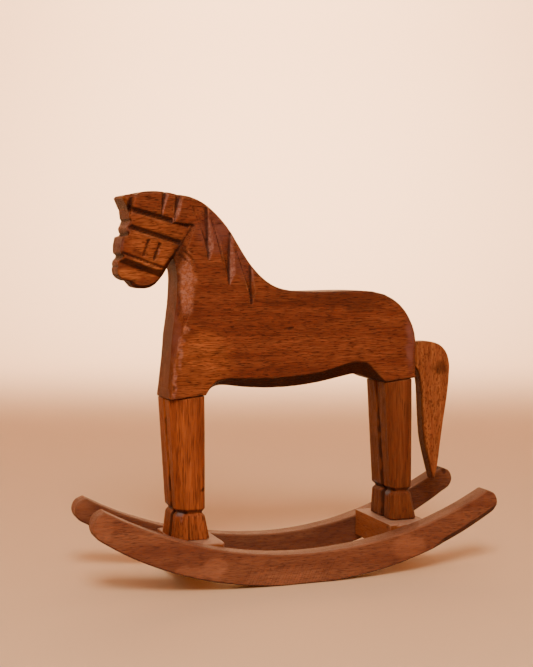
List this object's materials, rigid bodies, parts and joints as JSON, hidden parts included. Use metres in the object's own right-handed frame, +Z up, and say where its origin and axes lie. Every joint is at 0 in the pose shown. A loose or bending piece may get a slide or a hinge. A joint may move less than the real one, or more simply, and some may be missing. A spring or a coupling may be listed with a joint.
{
  "type": "carved wooden rocking horse",
  "caption": "Small carved horse ornament in reddish brown wood, with plain block legs and a flat tail, standing on curved rockers.",
  "frame": {"origin": "middle of the footprint box, on the surface the rockers stand on", "axes": "+X runs from the horse's nose to its tail, +Y towards its far side, +Z up"},
  "size_m": [0.2582, 0.0786, 0.2305],
  "materials": {
    "body_wood": "carved, stained reddish brown and waxed, satin",
    "leg_wood": "carved upright grain, stained reddish brown, satin",
    "tail_wood": "sanded and stained, satin",
    "rocker_wood": "sawn and sanded, thin dusty wax",
    "bar_wood": "sawn, nearly bare"
  },
  "bodies": {
    "root": {"carved_body": "body_wood", "foreleg_pair": "leg_wood", "hindleg_pair": "leg_wood", "tail": "tail_wood", "near_rocker": "rocker_wood", "far_rocker": "rocker_wood", "front_crossbar": "bar_wood", "rear_crossbar": "bar_wood"}
  },
  "joints": []
}
